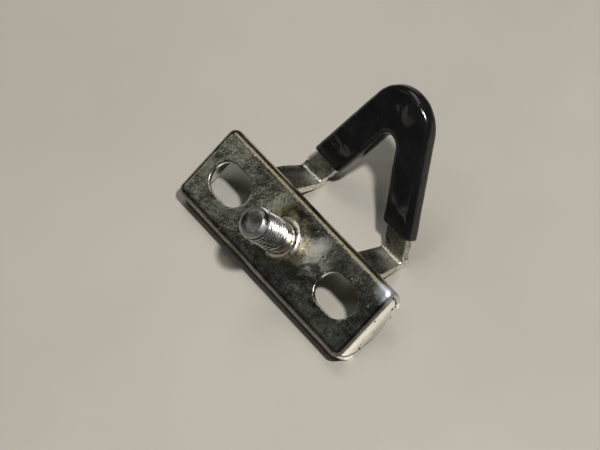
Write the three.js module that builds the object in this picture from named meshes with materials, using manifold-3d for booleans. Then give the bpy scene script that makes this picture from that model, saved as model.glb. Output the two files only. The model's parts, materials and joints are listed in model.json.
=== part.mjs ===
// A shutter holdback: a chromed, pressed steel mounting plate with a fixed threaded stud,
// and a V-shaped strap hook in a vinyl sleeve. The hook turns on a pin inside the plate's
// long edge, and two torsion springs hold it up against the plate's turned lip.
//
// Units are millimetres. Everything is drawn in the plate's own frame first: X runs along
// the plate, Y points towards the hook, Z stands up along the stud, and Z = 0 is the
// plate's flat mounting face. The finished group is then tilted about X and lifted, so
// that the part stands on Z = 0 the way it lies on a bench, on the plate's free long edge
// and the two creases of the hook.

import * as THREE from 'three';
import { mergeVertices } from 'three/addons/utils/BufferGeometryUtils.js';
import Module from 'manifold-3d';

const wasm = await Module();
wasm.setup();

// ---- driving dimensions -------------------------------------------------------------

const SHEET = 1.5;              // thickness of the pressed plate
const PLATE_LENGTH = 75;
const PLATE_WIDTH = 25;
const PLATE_DEPTH = 9;
const TOP_EDGE_RADIUS = 2.2;    // outside bend between the top face and the long sides
const LIP_RADIUS = 6.5;         // outside radius of the turned-under lips
const LIP_END_ANGLE = 54;       // degrees of lip, counted down from the side
const END_FOLD_RADIUS = 2.2;    // outside bend between the top face and an end tab
const CORNER_RADIUS = 2.7;      // of the plate's corners, seen from above
const TAB_SIDE_GAP = 0.4;       // gap between an end tab and the lips

const SLOT_LENGTH = 15;
const SLOT_WIDTH = 10.5;
const SLOT_CENTRE = 24.6;       // from the stud

const STUD_DIAMETER = 10;
const THREAD_PITCH = 1.5;
const THREAD_DEPTH = 0.8;
const THREAD_TURNS = 8;
const STUD_HEIGHT = 19;
const STUD_CHAMFER = 0.9;
const STUD_SHANK_RADIUS = 4.6;
const STUD_HEAD_RADIUS = 5.8;
const STUD_HEAD_THICKNESS = 2;
const STUD_HEAD_CHAMFER = 0.6;
const THREAD_ROOT_AT = 0.15;    // fractions of the pitch at which a thread's groove ends,
const THREAD_CREST_AT = 0.6;    // its crest starts
const THREAD_CREST_END = 0.75;  // and its crest ends
const STUD_TIP_RADIUS = 3.8;    // of the flat tip, inside its chamfer
const COLLAR_RADIUS = 7.2;
const COLLAR_HEIGHT = 2.4;
const COLLAR_RIM = 0.3;         // thickness of the collar's two thin edges
const COUNTERSINK_RADIUS = 7.5; // of the stud's hole, at the mounting face
const COUNTERSINK_DEPTH = 1.2;

const STRAP_THICKNESS = 2.5;
const STRAP_WIDTH = 8;
const V_HALF_ANGLE = 20.7;      // degrees, each leg from the hook's centre line
const V_SLOPE = 27.3;           // degrees, the V's plane from the plate's plane
const ROOT_SLOPE = 55.7;        // degrees, the roots' plane from the plate's plane
const CREASE_Y = 17.1;          // crease line, on the upper faces of the strap
const CREASE_Z = -19.1;
const CREASE_RADIUS = 1.2;      // inside radius of the crease
const V_OUTER_RADIUS = 10.4;    // of the strap at the apex
const V_INNER_RADIUS = 4.7;
const V_OUTER_APEX = 41.4;      // from the crease to the strap's apex
const ROOT_INNER_X = 14.1;
const ROOT_OUTER_X = 24.2;

const SLEEVE_COAT = 1.6;        // vinyl on the strap's edges
const SLEEVE_FACE_COAT = 1.3;   // vinyl on the strap's faces
const SLEEVE_START = 6.9;       // from the crease to the sleeve's lower end, on the inner edge
const SLEEVE_SLANT = 0.5;       // how much further the sleeve starts on the outer edge
const SLEEVE_EDGE_RADIUS = 1.6;

const PIN_Y = 7.7;
const PIN_Z = -4.1;
const PIN_DIAMETER = 3;
const PIN_CLEARANCE = 0.08;     // radial, in the barrels and the bearing plates
const BARREL_DIAMETER = 4.6;
const BEARING_THICKNESS = 1.5;
const BEARING_DEPTH = 8;        // from the mounting face to the bearing plate's lowest point
const SPRING_WIRE = 0.7;
const SPRING_INSIDE_DIAMETER = 3.3;
const SPRING_TURNS = 5;
const SPRING_STEPS = 14;        // faces along the wire in each turn
const JOIN_GAP = 0.3;           // kept between meshes that touch on the real part

// ---- finishes -----------------------------------------------------------------------

const chrome = () => new THREE.MeshStandardMaterial({ color: 0x8f8f8a, roughness: 0.18, metalness: 1 });
const zincSteel = () => new THREE.MeshStandardMaterial({ color: 0x9a9992, roughness: 0.35, metalness: 1 });
const springSteel = () => new THREE.MeshStandardMaterial({ color: 0x55534e, roughness: 0.4, metalness: 1 });
const braze = () => new THREE.MeshStandardMaterial({ color: 0x9c8448, roughness: 0.55, metalness: 0.8 });
const vinyl = () => new THREE.MeshStandardMaterial({ color: 0x0b0b0c, roughness: 0.25, metalness: 0 });

// ---- solids -------------------------------------------------------------------------

const radians = THREE.MathUtils.degToRad;

function solid(geometry) {
  const bare = geometry.clone();
  bare.deleteAttribute('normal');
  bare.deleteAttribute('uv');
  const merged = mergeVertices(bare, 1e-4);
  const triVerts = Uint32Array.from(merged.index.array);
  const vertProperties = Float32Array.from(merged.attributes.position.array);
  return new wasm.Manifold(new wasm.Mesh({ numProp: 3, vertProperties, triVerts }));
}

function meshOf(name, manifold, material) {
  const mesh = manifold.getMesh();
  const geometry = new THREE.BufferGeometry();
  geometry.setAttribute('position', new THREE.BufferAttribute(Float32Array.from(mesh.vertProperties), 3));
  geometry.setIndex(new THREE.BufferAttribute(Uint32Array.from(mesh.triVerts), 1));
  geometry.computeVertexNormals();
  const result = new THREE.Mesh(geometry, material);
  result.name = name;
  return result;
}

// A shape drawn in (Y, Z), extruded along X from x0 to x1.
function alongX(shape, x0, x1, curveSegments = 8) {
  const geometry = new THREE.ExtrudeGeometry(shape, { depth: x1 - x0, bevelEnabled: false, curveSegments });
  const axes = new THREE.Matrix4().makeBasis(
    new THREE.Vector3(0, 1, 0), new THREE.Vector3(0, 0, 1), new THREE.Vector3(1, 0, 0));
  geometry.applyMatrix4(axes);
  geometry.translate(x0, 0, 0);
  return solid(geometry);
}

// A shape drawn in (X, Y), extruded along Z from z0 to z1.
function alongZ(shape, z0, z1, curveSegments = 8) {
  const geometry = new THREE.ExtrudeGeometry(shape, { depth: z1 - z0, bevelEnabled: false, curveSegments });
  geometry.translate(0, 0, z0);
  return solid(geometry);
}

// A round bar or tube on the pivot line, from x0 to x1.
function onPivot(outerRadius, innerRadius, x0, x1, segments) {
  const profile = [
    new THREE.Vector2(innerRadius, x0),
    new THREE.Vector2(outerRadius, x0),
    new THREE.Vector2(outerRadius, x1),
    new THREE.Vector2(innerRadius, x1),
  ];
  if (innerRadius > 0) {
    profile.push(profile[0].clone());
  }
  const geometry = new THREE.LatheGeometry(profile, segments);
  geometry.rotateZ(-Math.PI / 2);
  geometry.translate(0, PIN_Y, PIN_Z);
  return solid(geometry);
}

// ---- mounting plate -----------------------------------------------------------------

// One side of the plate's section, from the middle of the top face to the lip's cut edge
// and back along the inside.
function channelShape() {
  const side = PLATE_WIDTH / 2;
  const lipY = side - LIP_RADIUS;
  const lipZ = LIP_RADIUS - PLATE_DEPTH;
  const innerTop = TOP_EDGE_RADIUS - SHEET;
  const innerLip = LIP_RADIUS - SHEET;
  const end = radians(LIP_END_ANGLE);
  const shape = new THREE.Shape();
  shape.moveTo(-side + TOP_EDGE_RADIUS, 0);
  shape.lineTo(side - TOP_EDGE_RADIUS, 0);
  shape.absarc(side - TOP_EDGE_RADIUS, -TOP_EDGE_RADIUS, TOP_EDGE_RADIUS, Math.PI / 2, 0, true);
  shape.absarc(lipY, lipZ, LIP_RADIUS, 0, -end, true);
  shape.absarc(lipY, lipZ, innerLip, -end, 0, false);
  shape.absarc(side - TOP_EDGE_RADIUS, -TOP_EDGE_RADIUS, innerTop, 0, Math.PI / 2, false);
  shape.lineTo(-side + TOP_EDGE_RADIUS, -SHEET);
  shape.absarc(-side + TOP_EDGE_RADIUS, -TOP_EDGE_RADIUS, innerTop, Math.PI / 2, Math.PI, false);
  shape.absarc(-lipY, lipZ, innerLip, Math.PI, Math.PI + end, false);
  shape.absarc(-lipY, lipZ, LIP_RADIUS, Math.PI + end, Math.PI, true);
  shape.absarc(-side + TOP_EDGE_RADIUS, -TOP_EDGE_RADIUS, TOP_EDGE_RADIUS, Math.PI, Math.PI / 2, true);
  return shape;
}

// The D that closes an end: flat above, and below it follows the lips at a distance before
// it runs on in one wide arc from lip to lip.
function tabShape(top, gap, belly) {
  const lipY = PLATE_WIDTH / 2 - LIP_RADIUS;
  const lipZ = LIP_RADIUS - PLATE_DEPTH;
  const corner = LIP_RADIUS - SHEET - gap;
  const turn = radians(LIP_END_ANGLE);
  const endY = lipY + corner * Math.cos(turn);
  const endZ = lipZ - corner * Math.sin(turn);
  const bellyCentre = (endY * endY + endZ * endZ - belly * belly) / (2 * (endZ + belly));
  const bellyRadius = bellyCentre + belly;
  const bellyTurn = Math.atan2(endZ - bellyCentre, endY);
  const shape = new THREE.Shape();
  shape.moveTo(lipY + corner, top);
  shape.lineTo(-lipY - corner, top);
  shape.absarc(-lipY, lipZ, corner, Math.PI, Math.PI + turn, false);
  shape.absarc(0, bellyCentre, bellyRadius, -Math.PI - bellyTurn, bellyTurn, false);
  shape.absarc(lipY, lipZ, corner, -turn, 0, false);
  return shape;
}

// The plate seen from its long side, with the two folds rounded.
function foldShape() {
  const end = PLATE_LENGTH / 2;
  const fold = END_FOLD_RADIUS;
  const below = -PLATE_DEPTH - 1;
  const shape = new THREE.Shape();
  shape.moveTo(-end, below);
  shape.lineTo(end, below);
  shape.absarc(end - fold, -fold, fold, 0, Math.PI / 2, false);
  shape.absarc(-end + fold, -fold, fold, Math.PI / 2, Math.PI, false);
  return shape;
}

// The plate seen from above, with its four corners rounded.
function outlineShape() {
  const x = PLATE_LENGTH / 2 - CORNER_RADIUS;
  const y = PLATE_WIDTH / 2 - CORNER_RADIUS;
  const shape = new THREE.Shape();
  shape.absarc(x, y, CORNER_RADIUS, 0, Math.PI / 2, false);
  shape.absarc(-x, y, CORNER_RADIUS, Math.PI / 2, Math.PI, false);
  shape.absarc(-x, -y, CORNER_RADIUS, Math.PI, 3 * Math.PI / 2, false);
  shape.absarc(x, -y, CORNER_RADIUS, 3 * Math.PI / 2, 2 * Math.PI, false);
  return shape;
}

function slotShape(centre) {
  const radius = SLOT_WIDTH / 2;
  const reach = SLOT_LENGTH / 2 - radius;
  const shape = new THREE.Shape();
  shape.absarc(centre + reach, 0, radius, -Math.PI / 2, Math.PI / 2, false);
  shape.absarc(centre - reach, 0, radius, Math.PI / 2, 3 * Math.PI / 2, false);
  return shape;
}

function mountingPlate() {
  const end = PLATE_LENGTH / 2;
  const across = new THREE.ExtrudeGeometry(
    foldShape(), { depth: PLATE_WIDTH, bevelEnabled: false, curveSegments: 4 });
  across.rotateX(Math.PI / 2);
  across.translate(0, PLATE_WIDTH / 2, 0);
  let body = alongX(channelShape(), -end, end, 7);
  body = body.add(alongX(tabShape(0, TAB_SIDE_GAP, PLATE_DEPTH), end - SHEET, end, 10));
  body = body.add(alongX(tabShape(0, TAB_SIDE_GAP, PLATE_DEPTH), -end, -end + SHEET, 10));
  body = body.intersect(solid(across));
  body = body.intersect(alongZ(outlineShape(), -PLATE_DEPTH - 1, 1, 6));
  body = body.subtract(alongZ(slotShape(SLOT_CENTRE), -SHEET - 1, 1, 10));
  body = body.subtract(alongZ(slotShape(-SLOT_CENTRE), -SHEET - 1, 1, 10));
  const boreRadius = STUD_SHANK_RADIUS + JOIN_GAP;
  const bore = new THREE.LatheGeometry([
    new THREE.Vector2(0, -2 * SHEET),
    new THREE.Vector2(boreRadius, -2 * SHEET),
    new THREE.Vector2(boreRadius, -COUNTERSINK_DEPTH),
    new THREE.Vector2(COUNTERSINK_RADIUS, 0),
    new THREE.Vector2(COUNTERSINK_RADIUS, SHEET),
    new THREE.Vector2(0, SHEET),
  ], 40);
  bore.rotateX(Math.PI / 2);
  return meshOf('mounting_plate', body.subtract(solid(bore)), chrome());
}

// ---- stud ---------------------------------------------------------------------------

// The stud is riveted and brazed into the plate: head inside, thread outside. The thread
// is a stack of rings, one to a pitch.
function threadedStud() {
  const crest = STUD_DIAMETER / 2;
  const root = crest - THREAD_DEPTH;
  const under = -SHEET - JOIN_GAP;
  const profile = [
    new THREE.Vector2(0, under - STUD_HEAD_THICKNESS),
    new THREE.Vector2(STUD_HEAD_RADIUS - STUD_HEAD_CHAMFER, under - STUD_HEAD_THICKNESS),
    new THREE.Vector2(STUD_HEAD_RADIUS, under - STUD_HEAD_THICKNESS + STUD_HEAD_CHAMFER),
    new THREE.Vector2(STUD_HEAD_RADIUS, under),
    new THREE.Vector2(STUD_SHANK_RADIUS, under),
  ];
  const threadEnd = STUD_HEIGHT - STUD_CHAMFER;
  const threadStart = threadEnd - THREAD_TURNS * THREAD_PITCH;
  profile.push(new THREE.Vector2(STUD_SHANK_RADIUS, threadStart));
  for (let turn = 0; turn < THREAD_TURNS; turn += 1) {
    const z = threadStart + turn * THREAD_PITCH;
    profile.push(new THREE.Vector2(root, z + THREAD_ROOT_AT * THREAD_PITCH));
    profile.push(new THREE.Vector2(crest, z + THREAD_CREST_AT * THREAD_PITCH));
    profile.push(new THREE.Vector2(crest, z + THREAD_CREST_END * THREAD_PITCH));
  }
  profile.push(new THREE.Vector2(root, threadEnd + THREAD_ROOT_AT * THREAD_PITCH));
  profile.push(new THREE.Vector2(STUD_TIP_RADIUS, STUD_HEIGHT));
  profile.push(new THREE.Vector2(0, STUD_HEIGHT));
  const geometry = new THREE.LatheGeometry(profile, 36);
  geometry.rotateX(Math.PI / 2);
  return meshOf('threaded_stud', solid(geometry), zincSteel());
}

// The ring of braze that fixes the stud to the plate: it fills the hole's countersink and
// stands above the mounting face as a fillet.
function brazeCollar() {
  const inner = STUD_SHANK_RADIUS + JOIN_GAP;
  const slope = COUNTERSINK_DEPTH / (COUNTERSINK_RADIUS - inner);
  const lift = JOIN_GAP * Math.hypot(1, slope) - COUNTERSINK_DEPTH;
  const rimFoot = (COLLAR_RADIUS - inner) * slope + lift;
  const profile = [
    new THREE.Vector2(inner, lift),
    new THREE.Vector2(COLLAR_RADIUS, rimFoot),
  ];
  const steps = 5;
  const topRadius = inner + COLLAR_RIM;
  const rimHeight = rimFoot + COLLAR_RIM;
  for (let i = 1; i <= steps; i += 1) {
    const turn = (Math.PI / 2) * (i / steps);
    const radius = topRadius + (COLLAR_RADIUS - topRadius) * (1 - Math.sin(turn));
    const height = COLLAR_HEIGHT + (rimHeight - COLLAR_HEIGHT) * Math.cos(turn);
    profile.push(new THREE.Vector2(radius, height));
  }
  profile.push(new THREE.Vector2(inner, COLLAR_HEIGHT));
  profile.push(profile[0].clone());
  const geometry = new THREE.LatheGeometry(profile, 40);
  geometry.rotateX(Math.PI / 2);
  return meshOf('braze_collar', solid(geometry), braze());
}

// ---- pivot --------------------------------------------------------------------------

const TAB_INNER_FACE = PLATE_LENGTH / 2 - SHEET;
const BEARING_OUTER = TAB_INNER_FACE - JOIN_GAP;
const BEARING_INNER = BEARING_OUTER - BEARING_THICKNESS;
const BARREL_INNER_X = ROOT_INNER_X + 0.2;
const BARREL_OUTER_X = ROOT_OUTER_X - 0.2;

function pivotPin() {
  const end = TAB_INNER_FACE - JOIN_GAP;
  return meshOf('pivot_pin', onPivot(PIN_DIAMETER / 2, 0, -end, end, 32), zincSteel());
}

// A D-shaped plate welded inside each end tab. It carries one end of the pin.
function bearingPlate(name, side) {
  const x0 = side > 0 ? BEARING_INNER : -BEARING_OUTER;
  const x1 = side > 0 ? BEARING_OUTER : -BEARING_INNER;
  let body = alongX(tabShape(-SHEET - JOIN_GAP, JOIN_GAP, BEARING_DEPTH), x0, x1, 10);
  body = body.subtract(onPivot(PIN_DIAMETER / 2 + PIN_CLEARANCE, 0, x0 - 1, x1 + 1, 32));
  return meshOf(name, body, zincSteel());
}

// A tube welded to each root of the hook. It turns on the pin.
function hingeBarrel(name, side) {
  const x0 = side > 0 ? BARREL_INNER_X : -BARREL_OUTER_X;
  const x1 = side > 0 ? BARREL_OUTER_X : -BARREL_INNER_X;
  const bore = PIN_DIAMETER / 2 + PIN_CLEARANCE;
  return meshOf(name, onPivot(BARREL_DIAMETER / 2, bore, x0, x1, 32), zincSteel());
}

// The centre line of a torsion spring: a coil around the pin, between the barrel and the
// bearing plate.
class SpringLine extends THREE.Curve {
  constructor(side) {
    super();
    this.side = side;
    this.radius = (SPRING_INSIDE_DIAMETER + SPRING_WIRE) / 2;
    this.start = BARREL_OUTER_X + JOIN_GAP + SPRING_WIRE;
    this.finish = BEARING_INNER - JOIN_GAP - SPRING_WIRE;
  }

  getPoint(t, target = new THREE.Vector3()) {
    const angle = t * SPRING_TURNS * 2 * Math.PI;
    const x = this.start + (this.finish - this.start) * t;
    return target.set(
      this.side * x, PIN_Y + this.radius * Math.sin(angle), PIN_Z + this.radius * Math.cos(angle));
  }
}

function torsionSpring(name, side) {
  const wire = new THREE.Shape();
  wire.absarc(0, 0, SPRING_WIRE / 2, 0, 2 * Math.PI, false);
  const geometry = new THREE.ExtrudeGeometry(wire, {
    steps: SPRING_TURNS * SPRING_STEPS, curveSegments: 4, bevelEnabled: false,
    extrudePath: new SpringLine(side) });
  return meshOf(name, solid(geometry), springSteel());
}

// ---- hook ---------------------------------------------------------------------------

// The V's outline in its own plane: X across, S away from the crease. The offset grows
// the outline on all sides, for the sleeve.
function vShape(offset, start, slant) {
  const angle = radians(V_HALF_ANGLE);
  const sin = Math.sin(angle);
  const cos = Math.cos(angle);
  const outerRadius = V_OUTER_RADIUS + offset;
  const innerRadius = V_INNER_RADIUS - offset;
  const outerCentre = V_OUTER_APEX - V_OUTER_RADIUS;
  const outerLine = outerCentre * sin + outerRadius;
  const innerLine = outerLine - STRAP_WIDTH - 2 * offset;
  const innerCentre = (innerLine - innerRadius) / sin;
  const xOf = (line, s) => (line - s * sin) / cos;
  const shape = new THREE.Shape();
  shape.moveTo(xOf(innerLine, start), start);
  shape.lineTo(xOf(outerLine, start + slant), start + slant);
  shape.absarc(0, outerCentre, outerRadius, angle, Math.PI - angle, false);
  shape.lineTo(-xOf(outerLine, start + slant), start + slant);
  shape.lineTo(-xOf(innerLine, start), start);
  shape.absarc(0, innerCentre, innerRadius, Math.PI - angle, angle, true);
  return shape;
}

// Puts a solid drawn on (X, S, height) into the V's sloping plane. The strap's upper face
// is height 0.
function ontoV(geometry) {
  const slope = radians(V_SLOPE);
  const axes = new THREE.Matrix4().makeBasis(
    new THREE.Vector3(1, 0, 0),
    new THREE.Vector3(0, Math.cos(slope), Math.sin(slope)),
    new THREE.Vector3(0, -Math.sin(slope), Math.cos(slope)));
  axes.setPosition(0, CREASE_Y, CREASE_Z);
  geometry.applyMatrix4(axes);
  return geometry;
}

const ROOT_LENGTH = Math.hypot(CREASE_Y - PIN_Y, CREASE_Z - PIN_Z);

// Puts a solid drawn on (X, distance from the crease, depth below the upper face) into
// the roots' steep plane.
function ontoRoot(geometry) {
  const slope = radians(ROOT_SLOPE);
  const axes = new THREE.Matrix4().makeBasis(
    new THREE.Vector3(1, 0, 0),
    new THREE.Vector3(0, -Math.cos(slope), Math.sin(slope)),
    new THREE.Vector3(0, -Math.sin(slope), -Math.cos(slope)));
  axes.setPosition(0, CREASE_Y, CREASE_Z);
  geometry.applyMatrix4(axes);
  return geometry;
}

// The strap seen from its edge: steep root, round crease, sloping V.
function stripShape() {
  const rootSlope = radians(ROOT_SLOPE);
  const slope = radians(V_SLOPE);
  const root = new THREE.Vector2(-Math.cos(rootSlope), Math.sin(rootSlope));
  const v = new THREE.Vector2(Math.cos(slope), Math.sin(slope));
  const halfInside = (Math.PI - rootSlope - slope) / 2;
  const bisector = root.clone().add(v).normalize();
  const crease = new THREE.Vector2(CREASE_Y, CREASE_Z);
  const centre = crease.clone().addScaledVector(bisector, CREASE_RADIUS / Math.sin(halfInside));
  const from = Math.PI * 1.5 - rootSlope;
  const to = Math.PI * 1.5 + slope;
  const rootEnd = crease.clone().addScaledVector(root, ROOT_LENGTH);
  const vEnd = crease.clone().addScaledVector(v, V_OUTER_APEX + 2);
  const shape = new THREE.Shape();
  shape.moveTo(rootEnd.x - STRAP_THICKNESS * root.y, rootEnd.y + STRAP_THICKNESS * root.x);
  shape.lineTo(rootEnd.x, rootEnd.y);
  shape.absarc(centre.x, centre.y, CREASE_RADIUS, from, to, false);
  shape.lineTo(vEnd.x, vEnd.y);
  shape.lineTo(vEnd.x + STRAP_THICKNESS * v.y, vEnd.y - STRAP_THICKNESS * v.x);
  shape.absarc(centre.x, centre.y, CREASE_RADIUS + STRAP_THICKNESS, to, from, true);
  return shape;
}

// The outline of one root in its own plane, as wide as the V at the crease and wider at
// the barrel.
function rootShape(side) {
  const angle = radians(V_HALF_ANGLE);
  const outerLine = (V_OUTER_APEX - V_OUTER_RADIUS) * Math.sin(angle) + V_OUTER_RADIUS;
  const outerX = outerLine / Math.cos(angle);
  const innerX = (outerLine - STRAP_WIDTH) / Math.cos(angle);
  const flare = 0.5 * ROOT_LENGTH;
  const shape = new THREE.Shape();
  shape.moveTo(side * innerX, -CREASE_RADIUS);
  shape.lineTo(side * outerX, -CREASE_RADIUS);
  shape.lineTo(side * outerX, 0);
  shape.lineTo(side * ROOT_OUTER_X, flare);
  shape.lineTo(side * ROOT_OUTER_X, ROOT_LENGTH + 1);
  shape.lineTo(side * ROOT_INNER_X, ROOT_LENGTH + 1);
  shape.lineTo(side * ROOT_INNER_X, flare);
  shape.lineTo(side * innerX, 0);
  return shape;
}

function prism(shape, low, high, segments, place) {
  const geometry = new THREE.ExtrudeGeometry(
    shape, { depth: high - low, bevelEnabled: false, curveSegments: segments });
  geometry.translate(0, 0, low);
  return solid(place(geometry));
}

function hookStrap() {
  const reach = ROOT_OUTER_X + 1;
  const strip = alongX(stripShape(), -reach, reach, 6);
  const margin = CREASE_RADIUS + STRAP_THICKNESS;
  const vOutline = prism(vShape(0, 0, 0), -STRAP_THICKNESS - 1, margin, 14, ontoV);
  const leftRoot = prism(rootShape(-1), -JOIN_GAP, STRAP_THICKNESS + 1, 1, ontoRoot);
  const rightRoot = prism(rootShape(1), -JOIN_GAP, STRAP_THICKNESS + 1, 1, ontoRoot);
  let body = strip.intersect(vOutline.add(leftRoot).add(rightRoot));
  body = body.subtract(onPivot(BARREL_DIAMETER / 2 + JOIN_GAP, 0, -reach, reach, 40));
  return meshOf('hook_strap', body, chrome());
}

// The dipped vinyl sleeve: the V's outline grown by the coat, with the strap's space in it.
function hookSleeve() {
  const edge = SLEEVE_EDGE_RADIUS;
  const low = -STRAP_THICKNESS - SLEEVE_FACE_COAT;
  const high = SLEEVE_FACE_COAT;
  const shell = new THREE.ExtrudeGeometry(vShape(SLEEVE_COAT, SLEEVE_START, SLEEVE_SLANT), {
    depth: high - low - 2 * edge, bevelEnabled: true, bevelThickness: edge, bevelSize: edge,
    bevelOffset: -edge, bevelSegments: 3, curveSegments: 12 });
  shell.translate(0, 0, low + edge);
  const space = prism(
    vShape(JOIN_GAP, 0, 0), -STRAP_THICKNESS - JOIN_GAP, JOIN_GAP, 14, ontoV);
  return meshOf('hook_sleeve', solid(ontoV(shell)).subtract(space), vinyl());
}

// ---- assembly -----------------------------------------------------------------------

// The tilt at which the plate's free lip edge and the underside of the creases are level.
function restingTilt() {
  const turn = radians(LIP_END_ANGLE);
  const lipY = -(PLATE_WIDTH / 2 - LIP_RADIUS) - LIP_RADIUS * Math.cos(turn);
  const lipZ = LIP_RADIUS - PLATE_DEPTH - LIP_RADIUS * Math.sin(turn);
  const rootSlope = radians(ROOT_SLOPE);
  const slope = radians(V_SLOPE);
  const halfInside = (Math.PI - rootSlope - slope) / 2;
  const lean = Math.PI / 2 - slope - halfInside;
  const centreY = CREASE_Y + Math.sin(lean) * CREASE_RADIUS / Math.sin(halfInside);
  const centreZ = CREASE_Z + Math.cos(lean) * CREASE_RADIUS / Math.sin(halfInside);
  const across = centreY - lipY;
  const drop = lipZ - centreZ;
  return Math.atan2(drop, across) + Math.asin((CREASE_RADIUS + STRAP_THICKNESS) / Math.hypot(across, drop));
}

const holdback = new THREE.Group();
holdback.add(mountingPlate());
holdback.add(threadedStud());
holdback.add(brazeCollar());
holdback.add(bearingPlate('bearing_plate_left', -1));
holdback.add(bearingPlate('bearing_plate_right', 1));
holdback.add(pivotPin());
holdback.add(hingeBarrel('hinge_barrel_left', -1));
holdback.add(hingeBarrel('hinge_barrel_right', 1));
holdback.add(torsionSpring('torsion_spring_left', -1));
holdback.add(torsionSpring('torsion_spring_right', 1));
holdback.add(hookStrap());
holdback.add(hookSleeve());
holdback.rotation.x = restingTilt();

// The origin is the middle of the bounding box's underside.
const part = new THREE.Group();
part.add(holdback);
part.updateMatrixWorld(true);
const bounds = new THREE.Box3().setFromObject(part, true);
holdback.position.set(
  -(bounds.min.x + bounds.max.x) / 2, -(bounds.min.y + bounds.max.y) / 2, -bounds.min.z);

export default part;
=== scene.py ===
"""The looks of a shutter holdback: a chromed channel plate with a threaded stud, and a V-shaped
strap hook in a black vinyl sleeve that turns on a sprung pin inside the plate's long edge.

Every piece is drawn in millimetres in the plate's own frame (X along the plate, Y towards the
hook, Z along the stud, Z = 0 on the mounting face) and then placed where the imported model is.
"""

import json
import math

import bmesh
import bpy
from mathutils import Matrix, Vector, noise


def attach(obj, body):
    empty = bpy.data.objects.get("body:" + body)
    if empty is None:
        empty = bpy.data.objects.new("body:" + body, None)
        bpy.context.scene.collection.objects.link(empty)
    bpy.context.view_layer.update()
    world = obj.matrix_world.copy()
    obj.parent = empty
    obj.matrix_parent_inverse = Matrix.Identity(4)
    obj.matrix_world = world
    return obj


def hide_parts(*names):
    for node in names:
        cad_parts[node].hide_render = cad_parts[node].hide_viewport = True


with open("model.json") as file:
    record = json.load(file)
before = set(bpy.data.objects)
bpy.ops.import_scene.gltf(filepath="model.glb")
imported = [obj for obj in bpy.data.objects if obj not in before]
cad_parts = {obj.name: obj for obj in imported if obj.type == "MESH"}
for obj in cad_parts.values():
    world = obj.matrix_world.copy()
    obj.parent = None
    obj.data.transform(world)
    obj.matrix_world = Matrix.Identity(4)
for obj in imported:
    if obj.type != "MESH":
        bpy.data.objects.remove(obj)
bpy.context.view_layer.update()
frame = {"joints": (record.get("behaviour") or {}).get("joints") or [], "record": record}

MM = 0.001

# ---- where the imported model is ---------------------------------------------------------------

MOUNTS = {mount["name"]: mount for mount in frame["record"]["mounts"]}
FACE_NORMAL = Vector(MOUNTS["mounting_face"]["axis"]).normalized()
STUD_AXIS_POINT = Vector(MOUNTS["mounting_face"]["pos_m"]) * Vector((0, 1, 1))
ALONG = Vector((1, 0, 0))
HOOKWARD = FACE_NORMAL.cross(ALONG)
PLATE_FRAME = Matrix((
    (ALONG.x, HOOKWARD.x, FACE_NORMAL.x, STUD_AXIS_POINT.x),
    (ALONG.y, HOOKWARD.y, FACE_NORMAL.y, STUD_AXIS_POINT.y),
    (ALONG.z, HOOKWARD.z, FACE_NORMAL.z, STUD_AXIS_POINT.z),
    (0, 0, 0, 1),
)) @ Matrix.Diagonal((MM, MM, MM, 1))
PIN = PLATE_FRAME.inverted() @ Vector(frame["joints"][0]["pos_m"])

# ---- sizes, in millimetres -------------------------------------------------------------------

SHEET = 1.5                 # thickness of the pressed plate
HALF_LENGTH = 37.5
HALF_WIDTH = 12.5
DEPTH = 9.0
TOP_BEND = 2.2              # outside radius between the face and the long sides
LIP_BEND = 6.5              # outside radius of the turned-under lips
LIP_TURN = math.radians(54)
END_FOLD = 2.2              # outside radius between the face and the end tabs
CORNER_RADIUS = 2.7         # of the plate's four corners, seen from above
TAB_GAP = 0.4               # between an end tab and the lips it follows
CUT_RADIUS = 0.25           # softening of every sheared edge
SLOT_CENTRE = 24.6          # of a slot, from the stud's axis
SLOT_REACH = 2.25           # half of the slot's straight sides
SLOT_RADIUS = 5.25
BULGE_HEIGHT = 0.55         # of the sheet round the stud, drawn up by the heat of brazing
BULGE_RADIUS = 15.0
BULGE_TOP = 4.0             # radius within which the sheet is drawn up all the way

THREAD_RADIUS = 5.0
THREAD_DEPTH = 1.1
THREAD_PITCH = 1.5
THREAD_START = 6.1
STUD_HEIGHT = 19.0
TIP_LENGTH = 2.1            # of the stud's rounded-off end
TIP_RADIUS = 3.4            # of the flat that is left at its very end
SHANK_RADIUS = 4.6          # of the plain shoulder under the thread
HEAD_RADIUS = 5.8
HEAD_TOP = -1.8
HEAD_THICKNESS = 2.0
COLLAR_RADIUS = 7.2
COLLAR_HEIGHT = 2.0

STRAP_THICKNESS = 2.5
STRAP_WIDTH = 8.0
LEG_LEAN = math.radians(20.7)       # of each leg towards the apex
V_SLOPE = math.radians(27.3)        # of the V, up from the plate's face
ROOT_SLOPE = math.radians(55.7)     # of the roots, down from it
CREASE = Vector((0, 17.1, -19.1))   # where the roots' and the V's planes meet
CREASE_RADIUS = 2.0
OUTER_RADIUS = 10.4
INNER_RADIUS = 4.7
OUTER_APEX = 41.4           # of the V, from the creases
ROOT_INNER_X = 14.1
ROOT_OUTER_X = 24.2
STRAP_EDGE = 0.4

COAT = 1.6                  # vinyl on the strap's edges
FACE_COAT = 1.3             # vinyl on its faces
SLEEVE_START = 6.9          # along the legs, from the creases
SLEEVE_SLANT = 0.5          # how much later it starts on the legs' outer edges
SLEEVE_EDGE = 1.9           # rounding of the sleeve's own edges

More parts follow.
